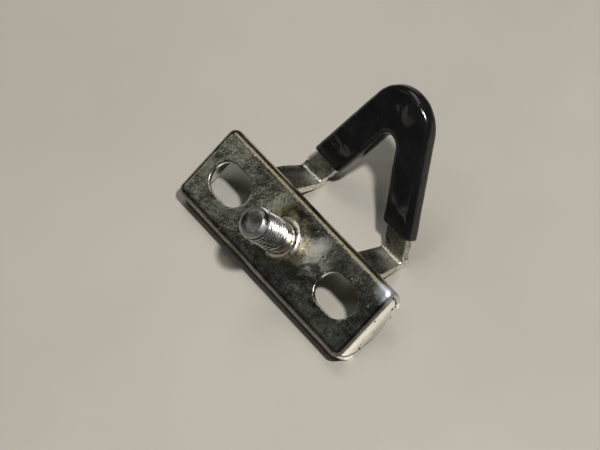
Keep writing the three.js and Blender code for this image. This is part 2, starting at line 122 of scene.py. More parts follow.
JOIN_GAP = 0.3              # between pieces that a weld or a braze would join
PIN_RADIUS = 1.5
BARREL_RADIUS = 2.3
BORE_RADIUS = 1.58
BEARING_THICKNESS = 1.5
BEARING_DEPTH = 8.0         # of a bearing plate's lowest point under the mounting face
WIRE_RADIUS = 0.35
COIL_RADIUS = 2.0
COIL_TURNS = 5
LEG_STEPS = 8
LEG_STEP = 0.85             # a spring's leg is this long per step
CHANNEL_END = HALF_LENGTH - SHEET - JOIN_GAP    # how far out the pin reaches

# ---- mesh helpers ----------------------------------------------------------------------------


def arc(centre, radius, start, end, steps):
    """Points on an arc, both ends included, as (u, v) pairs."""
    points = []
    for i in range(steps + 1):
        turn = start + (end - start) * i / steps
        points.append((centre[0] + radius * math.cos(turn), centre[1] + radius * math.sin(turn)))
    return points


def line(start, end, steps):
    """Points inside a straight run, without its two ends."""
    points = []
    for i in range(1, steps):
        t = i / steps
        points.append((start[0] + (end[0] - start[0]) * t, start[1] + (end[1] - start[1]) * t))
    return points


def smoothstep(low, high, value):
    t = min(1.0, max(0.0, (value - low) / (high - low)))
    return t * t * (3 - 2 * t)


def to_object(name, bm):
    """Turns a bmesh drawn in the plate's frame into an object, still in the plate's frame."""
    bmesh.ops.remove_doubles(bm, verts=bm.verts, dist=0.002)
    bmesh.ops.recalc_face_normals(bm, faces=bm.faces)
    mesh = bpy.data.meshes.new(name)
    bm.to_mesh(mesh)
    bm.free()
    piece = bpy.data.objects.new(name, mesh)
    bpy.context.scene.collection.objects.link(piece)
    return piece


def shade(piece, sharp_angle=40):
    """Smooth shading with sharp edges above an angle in degrees."""
    for polygon in piece.data.polygons:
        polygon.use_smooth = True
    piece.data.set_sharp_from_angle(angle=math.radians(sharp_angle))


def finish_piece(piece, body, node, material, sharp_angle=40):
    """Places a finished piece in the model, on its body and in place of its CAD node."""
    piece.data.transform(PLATE_FRAME)
    shade(piece, sharp_angle)
    piece.data.materials.clear()
    piece.data.materials.append(material)
    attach(piece, body)
    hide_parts(node)


def loft(sections, closed=False):
    """A skin over rings of points. The ends are capped unless the rings close on themselves."""
    bm = bmesh.new()
    rings = []
    for section in sections:
        rings.append([bm.verts.new(point) for point in section])
    count = len(rings[0])
    last = len(rings) if closed else len(rings) - 1
    for i in range(last):
        low = rings[i]
        high = rings[(i + 1) % len(rings)]
        for j in range(count):
            k = (j + 1) % count
            bm.faces.new((low[j], low[k], high[k], high[j]))
    if not closed:
        bm.faces.new(rings[0])
        bm.faces.new(rings[-1])
    return bm


def along_x(outline, stations):
    """A (y, z) outline carried along X through the stations."""
    return loft([[(x, y, z) for y, z in outline] for x in stations])


def revolve(profile, centre=(0, 0), steps=96):
    """A closed (radius, z) profile turned about a line parallel to Z."""
    sections = []
    for i in range(steps):
        turn = 2 * math.pi * i / steps
        cos = math.cos(turn)
        sin = math.sin(turn)
        sections.append([(centre[0] + r * cos, centre[1] + r * sin, z) for r, z in profile])
    return loft(sections, closed=True)


def around_pin(profile, steps=64):
    """A closed (radius, x) profile turned about the hinge pin."""
    bm = revolve(profile, steps=steps)
    turn = Matrix.Rotation(math.radians(90), 4, "Y")
    bmesh.ops.transform(bm, matrix=Matrix.Translation((0, PIN.y, PIN.z)) @ turn, verts=bm.verts)
    return bm


def boolean(piece, other, operation):
    """Joins or cuts piece with other, which is used up."""
    step = piece.modifiers.new("step", "BOOLEAN")
    step.operation = operation
    step.object = other
    step.solver = "EXACT"
    graph = bpy.context.evaluated_depsgraph_get()
    made = bpy.data.meshes.new_from_object(piece.evaluated_get(graph))
    piece.modifiers.clear()
    old = piece.data
    piece.data = made
    bpy.data.meshes.remove(old)
    bpy.data.objects.remove(other)


# ---- materials -------------------------------------------------------------------------------


class Nodes:
    """A material's node tree, with short calls for the nodes that are used most."""

    def __init__(self, name):
        self.material = bpy.data.materials.new(name)
        self.material.use_nodes = True
        self.tree = self.material.node_tree
        self.shader = self.tree.nodes["Principled BSDF"]
        self.place = self.tree.nodes.new("ShaderNodeTexCoord").outputs["Object"]

    def link(self, output, target):
        self.tree.links.new(output, target)

    def noise(self, scale, detail=4.0, roughness=0.55, distortion=0.0, stretch=None):
        node = self.tree.nodes.new("ShaderNodeTexNoise")
        node.inputs["Scale"].default_value = scale
        node.inputs["Detail"].default_value = detail
        node.inputs["Roughness"].default_value = roughness
        node.inputs["Distortion"].default_value = distortion
        self.link(self.stretched(stretch), node.inputs["Vector"])
        return node.outputs["Fac"]

    def stretched(self, stretch):
        if stretch is None:
            return self.place
        turn, scale = stretch
        node = self.tree.nodes.new("ShaderNodeMapping")
        node.inputs["Rotation"].default_value = turn
        node.inputs["Scale"].default_value = scale
        self.link(self.place, node.inputs["Vector"])
        return node.outputs["Vector"]

    def distance(self, axis):
        """Distance in metres along one of the plate's axes, from the stud's foot."""
        node = self.tree.nodes.new("ShaderNodeVectorMath")
        node.operation = "DOT_PRODUCT"
        node.inputs[1].default_value = axis
        self.link(self.place, node.inputs[0])
        return self.math("SUBTRACT", node.outputs["Value"], STUD_AXIS_POINT.dot(axis))

    def beyond(self, axis, start, end):
        """0 before start and 1 beyond end, both in mm along one of the plate's axes."""
        node = self.tree.nodes.new("ShaderNodeMapRange")
        node.inputs["From Min"].default_value = start * MM
        node.inputs["From Max"].default_value = end * MM
        self.link(self.distance(axis), node.inputs["Value"])
        return node.outputs["Result"]

    def near(self, point, inner, outer):
        """1 within inner mm of a point in the plate's frame, fading to 0 at outer mm."""
        away = self.tree.nodes.new("ShaderNodeVectorMath")
        away.operation = "DISTANCE"
        away.inputs[1].default_value = PLATE_FRAME @ point
        self.link(self.place, away.inputs[0])
        node = self.tree.nodes.new("ShaderNodeMapRange")
        node.interpolation_type = "SMOOTHSTEP"
        node.inputs["From Min"].default_value = outer * MM
        node.inputs["From Max"].default_value = inner * MM
        self.link(away.outputs["Value"], node.inputs["Value"])
        return node.outputs["Result"]

    def spots(self, scale, radius, soft, share):
        """Round spots: 1 inside a spot. Only a share of the cells has one."""
        cells = self.tree.nodes.new("ShaderNodeTexVoronoi")
        cells.inputs["Scale"].default_value = scale
        self.link(self.place, cells.inputs["Vector"])
        inside = self.ramp(cells.outputs["Distance"], (radius, 1.0), (radius + soft, 0.0))
        chosen = self.math("GREATER_THAN", cells.outputs["Color"], 1 - share)
        return self.times(inside, chosen)

    def math(self, operation, first, second):
        node = self.tree.nodes.new("ShaderNodeMath")
        node.operation = operation
        for socket, value in zip(node.inputs, (first, second)):
            if isinstance(value, (int, float)):
                socket.default_value = value
            else:
                self.link(value, socket)
        return node.outputs[0]

    def times(self, first, second):
        return self.math("MULTIPLY", first, second)

    def plus(self, first, second):
        return self.math("ADD", first, second)

    def ramp(self, value, *stops):
        """A grey ramp from (position, grey) stops."""
        return self.colours(value, *[(at, (grey, grey, grey)) for at, grey in stops])

    def colours(self, value, *stops):
        """A colour ramp from (position, colour) stops."""
        node = self.tree.nodes.new("ShaderNodeValToRGB")
        elements = node.color_ramp.elements
        while len(elements) < len(stops):
            elements.new(0.5)
        for element, (at, colour) in zip(elements, stops):
            element.position = at
            element.color = (*colour, 1)
        self.link(value, node.inputs["Fac"])
        return node.outputs["Color"]

    def mix(self, share, first, second):
        """The first colour where share is 0 and the second where it is 1."""
        node = self.tree.nodes.new("ShaderNodeMix")
        node.data_type = "RGBA"
        self.link(share, node.inputs["Factor"])
        for socket, value in ((node.inputs[6], first), (node.inputs[7], second)):
            if isinstance(value, tuple):
                socket.default_value = (*value, 1)
            else:
                self.link(value, socket)
        return node.outputs[2]

    def bump(self, *layers):
        """Bump from (height, strength, distance in mm) layers."""
        previous = None
        for height, strength, distance in layers:
            node = self.tree.nodes.new("ShaderNodeBump")
            node.inputs["Strength"].default_value = strength
            node.inputs["Distance"].default_value = distance * MM
            self.link(height, node.inputs["Height"])
            if previous is not None:
                self.link(previous, node.inputs["Normal"])
            previous = node.outputs["Normal"]
        self.link(previous, self.shader.inputs["Normal"])

    def set(self, **values):
        """Values or outputs for the shader's inputs, with _ for a space in their names."""
        for name, value in values.items():
            socket = self.shader.inputs[name.replace("_", " ")]
            if isinstance(value, (int, float)):
                socket.default_value = value
            else:
                self.link(value, socket)


SCRATCH_TURNS = ((0, 0, 0.6), (0, 0, -0.9), (0.3, 0, 1.7))


def scratches(nodes, scale, width):
    """Fine lines in three directions: 1 on a line."""
    total = None
    for turn in SCRATCH_TURNS:
        streak = nodes.noise(scale, 2.0, 0.5, 0.2, stretch=(turn, (0.12, 1.0, 1.0)))
        lines = nodes.ramp(streak, (0.5 - width, 0.0), (0.5, 1.0), (0.5 + width, 0.0))
        total = lines if total is None else nodes.math("MAXIMUM", total, lines)
    return total


# Places of the plate's painted highlights and its stain, in the plate's frame
HAZE_HIGHLIGHT_MARK = Vector((11, 3, 0))              # middle of a hazy patch of chrome whose brighter colour paints a highlight
CORNER_HIGHLIGHT_SPOT = Vector((35.2, 10.6, 0))     # where a bluish painted highlight sits on the corner
FLUX_STAIN = Vector((0, 1, 0))              # middle of the stain that shows round the braze

# Colours of the wear and of the painted shade, reflection and highlights, as linear RGB
RUSTY_STAIN = (0.24, 0.19, 0.12)
BEND_PAINTED_SHADE = (0.24, 0.20, 0.12)
SIDE_SHADE = (0.12, 0.10, 0.08)
TAB_PAINTED_REFLECTION = (0.84, 0.83, 0.79)
FOLD_PAINTED_SHADE = (0.10, 0.09, 0.08)
PIT_RUST = (0.035, 0.03, 0.025)
PALE_SPECK = (0.86, 0.86, 0.80)
HAZE_PAINTED_HIGHLIGHT = (0.86, 0.84, 0.78)
CORNER_PAINTED_HIGHLIGHT = (0.78, 0.83, 0.92)
BURNT_FLUX = (0.40, 0.29, 0.08)
STEEL_GRIME = (0.10, 0.085, 0.07)
GROOVE_PAINTED_SHADE = (0.03, 0.028, 0.025)
TIP_PAINTED_SHADE = (0.16, 0.16, 0.15)


def edge_masks(nodes):
    """Masks for the painted shade on the bend on the hook's side, on the far side and on the right
    end's fold, and for the painted reflection on the right end tab.
    """
    bend_start = HALF_WIDTH - TOP_BEND
    bend = nodes.times(
        nodes.beyond(HOOKWARD, bend_start, bend_start + 0.7),
        nodes.beyond(HOOKWARD, HALF_WIDTH - 0.05, HALF_WIDTH - 0.3))
    side = nodes.beyond(HOOKWARD, -bend_start, -bend_start - 0.9)
    end = nodes.beyond(ALONG, HALF_LENGTH - 1.2, HALF_LENGTH - 0.7)
    below_fold = nodes.beyond(FACE_NORMAL, -END_FOLD + 0.1, -END_FOLD - 0.5)
    tab = nodes.times(end, below_fold)
    return bend, side, tab, nodes.math("SUBTRACT", end, tab)


def plate_chrome(name, tint, haze, pit_share, marked=False):
    """Old chrome plate: clouded, finely scratched, with small dark pits and a little rust.

    When marked it also has painted shade on its long bends and its right end's fold, a painted
    reflection and more pits on its right end tab, a painted highlight at one corner, and round
    the stud a stain and a hazy patch with a painted highlight.
    """
    nodes = Nodes(name)
    cloud = nodes.noise(150, 7.0, 0.68, 0.4)
    fine = nodes.noise(1500, 4.0, 0.7)
    pits = nodes.spots(850, 0.10, 0.16, pit_share)
    specks = nodes.spots(520, 0.06, 0.12, pit_share * 0.6)
    lines = scratches(nodes, 420, 0.012)
    bright = tuple(0.80 * c for c in tint)
    dull = tuple(0.26 * c for c in tint)
    mottle = nodes.plus(nodes.times(cloud, 0.5), nodes.times(fine, 0.5))
    base = nodes.colours(mottle, (0.43, dull), (0.56, bright))
    stain = nodes.ramp(nodes.noise(160, 5.0, 0.7, 0.6), (0.62, 0.0), (0.75, 0.55))
    base = nodes.mix(stain, base, RUSTY_STAIN)
    if marked:
        bend, side, tab, fold = edge_masks(nodes)
        # painted shade that dims the reflection on the bend on the hook's side
        base = nodes.mix(nodes.times(bend, 0.85), base, BEND_PAINTED_SHADE)
        # painted shade standing in for a dark reflection on the far side
        base = nodes.mix(nodes.times(side, 0.75), base, SIDE_SHADE)
        # painted reflection that brightens the right end tab
        base = nodes.mix(tab, base, TAB_PAINTED_REFLECTION)
        # painted shade on the fold above the right end tab
        base = nodes.mix(nodes.times(fold, 0.8), base, FOLD_PAINTED_SHADE)
        tab_pits = nodes.times(tab, nodes.spots(520, 0.16, 0.10, 0.42))
        pits = nodes.math("MAXIMUM", pits, tab_pits)
    base = nodes.mix(pits, base, PIT_RUST)
    base = nodes.mix(specks, base, PALE_SPECK)
    rough = nodes.ramp(cloud, (0.30, haze), (0.70, haze + 0.16))
    rougher = [(pits, 0.4), (lines, 0.06), (specks, 0.40)]
    if marked:
        hazy = nodes.ramp(cloud, (0.42, 0.2), (0.56, 1.0))
        heat = nodes.times(nodes.near(HAZE_HIGHLIGHT_MARK, 2.5, 8.5), hazy)
        dent = nodes.near(CORNER_HIGHLIGHT_SPOT, 1.0, 4.6)
        grains = nodes.ramp(fine, (0.46, 0.0), (0.55, 0.85))
        burnt = nodes.times(nodes.near(FLUX_STAIN, 8.2, 10.0), grains)
        # hazy chrome, with a brighter colour that paints a highlight
        base = nodes.mix(heat, base, HAZE_PAINTED_HIGHLIGHT)
        # painted bluish highlight on one corner, also rougher there
        base = nodes.mix(dent, base, CORNER_PAINTED_HIGHLIGHT)
        base = nodes.mix(burnt, base, BURNT_FLUX)
        rougher += [(bend, 0.10), (heat, 0.26), (dent, 0.30)]
    for mask, share in rougher:
        rough = nodes.plus(rough, nodes.times(mask, share))
    nodes.set(Base_Color=base, Metallic=1.0, Roughness=rough)
    nodes.bump((nodes.noise(170, 4.0, 0.6), 0.30, 0.6), (fine, 0.30, 0.05), (pits, -0.6, 0.08))
    return nodes.material


def groove_mask(nodes):
    """1 at the bottom of the stud's thread, found by the distance from its axis."""
    squared = nodes.plus(
        nodes.math("POWER", nodes.distance(ALONG), 2),
        nodes.math("POWER", nodes.distance(HOOKWARD), 2))
    centimetres = nodes.math("DIVIDE", nodes.math("SQRT", squared, 0), 10 * MM)
    deep = nodes.ramp(centimetres, (0.41, 1.0), (0.46, 0.0))
    above_shoulder = nodes.beyond(FACE_NORMAL, THREAD_START - 0.5, THREAD_START)
    in_tip = nodes.beyond(FACE_NORMAL, STUD_HEIGHT - 1.7, STUD_HEIGHT - 1.4)
    below_tip = nodes.math("SUBTRACT", 1.0, in_tip)
    return nodes.times(deep, nodes.times(above_shoulder, below_tip))


def turned_steel(name, colour, rough, threaded=False):
    """Bare or zinc-plated steel with a fine grain and dark grime in places.

    When threaded it has painted shade in the stud's grooves, and painted shade and rougher patches
    on its tip.
    """
    nodes = Nodes(name)
    cloud = nodes.noise(260, 5.0, 0.6, 0.3)
    grain = nodes.noise(2600, 2.0)
    grime = nodes.ramp(nodes.noise(420, 4.0, 0.7), (0.55, 0.0), (0.72, 0.8))
    base = nodes.colours(cloud, (0.3, tuple(0.7 * c for c in colour)), (0.7, colour))
    base = nodes.mix(grime, base, STEEL_GRIME)
    roughness = nodes.ramp(cloud, (0.3, rough), (0.7, rough + 0.18))
    if threaded:
        # painted shade in the thread's grooves
        base = nodes.mix(nodes.times(groove_mask(nodes), 0.85), base, GROOVE_PAINTED_SHADE)
        tip = nodes.beyond(FACE_NORMAL, STUD_HEIGHT - 1.9, STUD_HEIGHT - 0.9)
        # painted shade on the stud's tip and chamfer
        base = nodes.mix(nodes.times(tip, 0.6), base, TIP_PAINTED_SHADE)
        patches = nodes.ramp(cloud, (0.4, 0.0), (0.6, 0.3))
        roughness = nodes.plus(roughness, nodes.times(tip, patches))
    nodes.set(Base_Color=base, Metallic=1.0, Roughness=roughness)
    nodes.bump((grain, 0.12, 0.03), (cloud, 0.15, 0.12))
    return nodes.material


def braze_metal(name):
    """Dull braze, yellow where it is clean and brown where it has rusted."""
    nodes = Nodes(name)
    cloud = nodes.noise(420, 5.0, 0.65, 0.5)
    base = nodes.colours(
        cloud, (0.36, (0.16, 0.14, 0.12)), (0.46, (0.60, 0.57, 0.52)), (0.60, (0.62, 0.58, 0.50)),
        (0.66, (0.50, 0.36, 0.10)), (0.74, (0.24, 0.13, 0.04)))
    nodes.set(Base_Color=base, Metallic=1.0, Roughness=nodes.ramp(cloud, (0.35, 0.16), (0.7, 0.5)))
    nodes.bump((nodes.noise(900, 4.0, 0.6), 0.3, 0.10), (cloud, 0.3, 0.20))
    return nodes.material


def black_vinyl(name):
    """Glossy dipped vinyl with faint orange peel, grey scuffs and dust."""
    nodes = Nodes(name)
    peel = nodes.noise(230, 3.0, 0.5)
    cloud = nodes.noise(120, 5.0, 0.65, 0.5)
    scuff = nodes.ramp(nodes.noise(700, 5.0, 0.75, 0.8), (0.66, 0.0), (0.78, 0.3))
    scuff = nodes.times(scuff, nodes.ramp(cloud, (0.5, 0.0), (0.62, 1.0)))
    dust = nodes.spots(1500, 0.05, 0.08, 0.12)
    base = nodes.colours(cloud, (0.3, (0.006, 0.006, 0.007)), (0.7, (0.013, 0.013, 0.014)))
    base = nodes.mix(scuff, base, (0.10, 0.10, 0.10))
    base = nodes.mix(dust, base, (0.30, 0.29, 0.27))
    rough = nodes.ramp(cloud, (0.3, 0.07), (0.7, 0.17))
    rough = nodes.plus(rough, nodes.times(scuff, 0.5))
    nodes.set(Base_Color=base, Roughness=rough, IOR=1.54)
    nodes.bump((peel, 0.25, 0.3), (nodes.noise(1800, 2.0), 0.05, 0.04))
    return nodes.material


PLATE_CHROME = plate_chrome("plate_chrome", (1.0, 1.0, 0.90), 0.09, 0.28, marked=True)
HOOK_CHROME = plate_chrome("hook_chrome", (0.80, 0.79, 0.70), 0.20, 0.30)
STUD_STEEL = turned_steel("stud_steel", (0.80, 0.80, 0.80), 0.12, threaded=True)
INNER_STEEL = turned_steel("inner_steel", (0.55, 0.54, 0.52), 0.30)
SPRING_STEEL = turned_steel("spring_steel", (0.26, 0.25, 0.24), 0.28)
BRAZE = braze_metal("braze")
VINYL = black_vinyl("black_vinyl")

# ---- mounting plate --------------------------------------------------------------------------

LIP_CENTRE = (HALF_WIDTH - LIP_BEND, LIP_BEND - DEPTH)
STATIONS = 100              # steps along the channel
END_RECESS = 0.04           # how far the channel's cut ends lie inside the tabs' outer faces
FACE_STEPS = 32             # steps across the flat of the face


def channel_outline():
    """The section of the pressed channel, from (y, z) arcs, with softened lip edges."""
    lip_y, lip_z = LIP_CENTRE
    top = (HALF_WIDTH - TOP_BEND, -TOP_BEND)
    inner_lip = LIP_BEND - SHEET
    cut = CUT_RADIUS / LIP_BEND
    right = arc(top, TOP_BEND, math.pi / 2, 0, 10)
    right += arc((lip_y, lip_z), LIP_BEND, 0, -LIP_TURN + cut, 22)
    middle = LIP_BEND - SHEET / 2
    end_y = lip_y + middle * math.cos(LIP_TURN)
    end_z = lip_z - middle * math.sin(LIP_TURN)
    blunt = SHEET / 2 - CUT_RADIUS / 2
    right += arc((end_y, end_z), blunt, -LIP_TURN, -LIP_TURN - math.pi, 8)[1:-1]
    right += arc((lip_y, lip_z), inner_lip, -LIP_TURN + cut, 0, 18)
    right += arc(top, TOP_BEND - SHEET, 0, math.pi / 2, 6)
    left = [(-y, z) for y, z in reversed(right)]
    outer_face = line((-top[0], 0), (top[0], 0), FACE_STEPS)
    inner_face = line((top[0], -SHEET), (-top[0], -SHEET), FACE_STEPS)
    return right + inner_face + left + outer_face


def tab_outline(top, gap, belly):
    """The D that closes an end: flat above, following the lips, then one wide arc."""
    lip_y, lip_z = LIP_CENTRE
    corner = LIP_BEND - SHEET - gap
    end_y = lip_y + corner * math.cos(LIP_TURN)
    end_z = lip_z - corner * math.sin(LIP_TURN)
    centre = (end_y ** 2 + end_z ** 2 - belly ** 2) / (2 * (end_z + belly))
    turn = math.atan2(end_z - centre, end_y)
    outline = [(lip_y + corner, top)]
    outline += arc((lip_y, lip_z), corner, 0, -LIP_TURN, 14)
    outline += arc((0, centre), belly + centre, turn, -math.pi - turn, 40)[1:-1]
    outline += arc((-lip_y, lip_z), corner, math.pi + LIP_TURN, math.pi, 14)
    outline.append((-lip_y - corner, top))
    return outline


def slab(outline, x0, x1, edge):
    """An outline carried along X, with its two faces' edges softened."""
    centre_y = sum(y for y, _ in outline) / len(outline)
    centre_z = sum(z for _, z in outline) / len(outline)
    sections = []
    for x, inset in ((x0, edge), (x0 + edge * 0.3, edge * 0.3), (x0 + edge, 0),
                     (x1 - edge, 0), (x1 - edge * 0.3, edge * 0.3), (x1, edge)):
        section = []
        for y, z in outline:
            away = Vector((y - centre_y, z - centre_z))
            scale = 1 - inset / away.length
            section.append((x, centre_y + away.x * scale, centre_z + away.y * scale))
        sections.append(section)
    return loft(sections)


def fold_cut(side):
    """What is cut away to round the fold between the face and an end tab."""
    outline = arc((HALF_LENGTH - END_FOLD, -END_FOLD), END_FOLD, math.pi / 2, 0, 12)
    outline += [(HALF_LENGTH + 1, -END_FOLD), (HALF_LENGTH + 1, 1), (HALF_LENGTH - END_FOLD, 1)]
    reach = HALF_WIDTH + 2
    return loft([[(side * x, y, z) for x, z in outline] for y in (-reach, reach)])


def corner_cut(side, edge):
    """What is cut away to round an upright corner into the fold and the long bend."""
    start = 0.03                # just off the post's axis, so that no faces coincide
    reach = CORNER_RADIUS + 1
    low = -DEPTH - 1
    centre = (HALF_LENGTH - CORNER_RADIUS, HALF_WIDTH - CORNER_RADIUS)
    flat = CORNER_RADIUS - END_FOLD
    block = loft([
        [(centre[0] + x, centre[1] + y, z)
         for x, y in ((start, start), (reach, start), (reach, reach), (start, reach))]
        for z in (low, 1)])
    profile = [(0.01, low - 1), (CORNER_RADIUS, low - 1)]
    profile += arc((flat, -END_FOLD), END_FOLD, 0, math.pi / 2, 16)
    profile.append((0.01, 0.1))
    post = revolve(profile, centre, 64)
    cutter = to_object("corner_block", block)
    boolean(cutter, to_object("corner_post", post), "DIFFERENCE")
    cutter.data.transform(Matrix.Diagonal((side, edge, 1, 1)))
    if side * edge < 0:
        cutter.data.flip_normals()
    return cutter


def rimmed_cut(outline_at):
    """A cutter through the face whose rims flare, so that the cut edge comes out rounded."""
    flare = CUT_RADIUS
    steps = 4
    sections = [outline_at(flare * 2, flare)]
    for i in range(steps + 1):
        turn = math.pi / 2 * i / steps
        grow = flare * (1 - math.sin(turn))
        sections.append(outline_at(grow, -flare * (1 - math.cos(turn))))
    for i in range(steps + 1):
        turn = math.pi / 2 * (1 - i / steps)
        grow = flare * (1 - math.sin(turn))
        sections.append(outline_at(grow, flare * (1 - math.cos(turn)) - SHEET))
    sections.append(outline_at(flare * 2, -SHEET - flare))
    return loft(sections)


def slot_ring(centre):
    """The outline of the slot at centre, as a function for rimmed_cut."""
    def ring(grow, z):
        radius = SLOT_RADIUS + grow
        points = arc((centre + SLOT_REACH, 0), radius, -math.pi / 2, math.pi / 2, 24)
        points += arc((centre - SLOT_REACH, 0), radius, math.pi / 2, 1.5 * math.pi, 24)
        return [(x, y, z) for x, y in points]
    return ring


def bore_ring(grow, z):
    """The outline of the stud's hole, for rimmed_cut."""
    points = arc((0, 0), SHANK_RADIUS + CUT_RADIUS + grow, 0, 2 * math.pi, 64)[:-1]
    return [(x, y, z) for x, y in points]


def bulge(x, y):
    """Height of the heat-drawn sheet round the stud: a low, uneven dome."""
    away = math.hypot(x, y * 1.15)
    dome = BULGE_HEIGHT * (1 - smoothstep(BULGE_TOP, BULGE_RADIUS, away))
    uneven = noise.noise(Vector((x * 0.22, y * 0.22, 3.7)))
    edge = 1 - smoothstep(HALF_WIDTH - 4.5, HALF_WIDTH - 2.4, abs(y))
    ripple = 0.035 * noise.noise(Vector((x * 0.12, y * 0.2, 9.1)))
    return (dome * (1 + 0.5 * uneven) + ripple) * edge


def mounting_plate():
    """The pressed channel, its end tabs and openings, and the bulge round the stud."""
    end = HALF_LENGTH - END_RECESS
    stations = [end * (2 * i / STATIONS - 1) for i in range(STATIONS + 1)]
    plate = to_object("mounting_plate_skin", along_x(channel_outline(), stations))
    tab = tab_outline(-END_RECESS, TAB_GAP, DEPTH)
    inner = HALF_LENGTH - SHEET
    for x0, x1 in ((inner, HALF_LENGTH), (-HALF_LENGTH, -inner)):
        boolean(plate, to_object("tab", slab(tab, x0, x1, CUT_RADIUS)), "UNION")
    for side in (-1, 1):
        boolean(plate, to_object("fold", fold_cut(side)), "DIFFERENCE")
    for side, edge in ((-1, -1), (-1, 1), (1, -1), (1, 1)):
        boolean(plate, corner_cut(side, edge), "DIFFERENCE")
    for centre in (-SLOT_CENTRE, SLOT_CENTRE):
        boolean(plate, to_object("slot", rimmed_cut(slot_ring(centre))), "DIFFERENCE")
    boolean(plate, to_object("bore", rimmed_cut(bore_ring)), "DIFFERENCE")
    for vertex in plate.data.vertices:
        if vertex.co.z > -SHEET - 0.1:
            vertex.co.z += bulge(vertex.co.x, vertex.co.y)
    finish_piece(plate, "plate", "mounting_plate", PLATE_CHROME, 35)


# ---- stud and braze --------------------------------------------------------------------------


def thread_radius(turn, z):
    """Radius of the stud's surface: a helical thread with a run-out, and a rounded tip."""
    phase = ((z - THREAD_START) / THREAD_PITCH - turn / (2 * math.pi)) % 1.0
    flank = abs(phase - 0.5) * 2
    groove = min(1.0, max(0.0, (flank - 0.06) / 0.74))
    depth = THREAD_DEPTH * (1 - groove) * smoothstep(THREAD_START - 0.8, THREAD_START + 1.2, z)
    crest = SHANK_RADIUS + (THREAD_RADIUS - SHANK_RADIUS) * smoothstep(
        THREAD_START - 0.6, THREAD_START + 0.6, z)
    rounding = max(0.0, (z - STUD_HEIGHT + TIP_LENGTH) / TIP_LENGTH) ** 1.6
    tip = THREAD_RADIUS - (THREAD_RADIUS - TIP_RADIUS) * rounding
    depth *= 1 - smoothstep(0.1, 0.6, rounding)
    return min(crest - depth, tip)


def round_skin(sections):
    """A skin over open profiles set round an axis, with a cap on each end."""
    bm = bmesh.new()
    profiles = [[bm.verts.new(point) for point in section] for section in sections]
    for i, here in enumerate(profiles):
        there = profiles[(i + 1) % len(profiles)]
        for j in range(len(here) - 1):
            bm.faces.new((here[j], there[j], there[j + 1], here[j + 1]))
    bm.faces.new([profile[0] for profile in profiles])
    bm.faces.new([profile[-1] for profile in profiles])
    return bm


# The stud's slightly hollow end: how far inside its rim, and how far above STUD_HEIGHT
STUD_END = ((0.15, 0.04), (0.4, 0.03), (1.2, -0.04), (2.2, -0.08))


def threaded_stud():
    """The stud with its head under the face, its plain shoulder, thread and rounded tip."""
    around = 72
    rows = 210
    foot = HEAD_TOP + 0.05      # the thread's skin starts just above the head
    heights = [foot + (STUD_HEIGHT - foot) * i / rows for i in range(rows + 1)]
    head_low = HEAD_TOP - HEAD_THICKNESS
    head = [(0.6, head_low)]
    head += arc((HEAD_RADIUS - 0.7, head_low + 0.7), 0.7, -math.pi / 2, 0, 6)
    head += arc((HEAD_RADIUS - 0.2, HEAD_TOP - 0.2), 0.2, 0, math.pi / 2, 4)
    head.append((SHANK_RADIUS, HEAD_TOP))
    sections = []
    for i in range(around):
        turn = 2 * math.pi * i / around
        profile = head + [(thread_radius(turn, z), z) for z in heights]
        tip = thread_radius(turn, STUD_HEIGHT)
        for inset, rise in STUD_END:
            profile.append((tip - inset, STUD_HEIGHT + rise))
        sections.append([(r * math.cos(turn), r * math.sin(turn), z) for r, z in profile])
    stud = to_object("stud_thread", round_skin(sections))
    finish_piece(stud, "plate", "threaded_stud", STUD_STEEL, 50)


def braze_collar():
    """The fillet of braze: higher and wider in some places, with a wavy foot."""
    around = 128
    steps = 12
    inner = SHANK_RADIUS - 0.05
    sections = []
    for i in range(around):
        turn = 2 * math.pi * i / around
        direction = Vector((math.cos(turn), math.sin(turn), 0))
        swell = noise.noise(direction * 1.4 + Vector((0, 0, 5.2)))
        lump = noise.noise(direction * 4.5 + Vector((0, 0, 1.3)))
        radius = COLLAR_RADIUS * (1 + 0.05 * swell + 0.02 * lump)
        height = COLLAR_HEIGHT * (1 + 0.14 * swell + 0.07 * lump)
        low = bulge(radius * direction.x, radius * direction.y)
        ring = [(inner, -SHEET)]
        for j in range(steps + 1):
            rise = math.pi / 2 * j / steps
            r = inner + 0.25 + (radius - inner - 0.25) * (1 - math.sin(rise))
            z = low - 0.05 + (height - low) * (1 - math.cos(rise))
            ring.append((r, z))
        ring.append((inner, height - 0.02))
        sections.append([(r * direction.x, r * direction.y, z) for r, z in ring])
    collar = to_object("braze_fillet", loft(sections, closed=True))
    finish_piece(collar, "plate", "braze_collar", BRAZE, 60)


# ---- hinge -----------------------------------------------------------------------------------


def rounded_bar(radius, x0, x1, edge):
    """Profile of a solid round bar with softened ends, as (radius, x)."""
    profile = [(0.02, x0)]
    profile += arc((radius - edge, x0 + edge), edge, -math.pi / 2, 0, 4)
    profile += arc((radius - edge, x1 - edge), edge, 0, math.pi / 2, 4)
    profile.append((0.02, x1))
    return profile


def pivot_pin():
    """The pin that the barrels turn on, from bearing plate to bearing plate."""
    bar = rounded_bar(PIN_RADIUS, -CHANNEL_END, CHANNEL_END, 0.35)
    pin = to_object("hinge_pin", around_pin(bar))
    finish_piece(pin, "plate", "pivot_pin", INNER_STEEL)


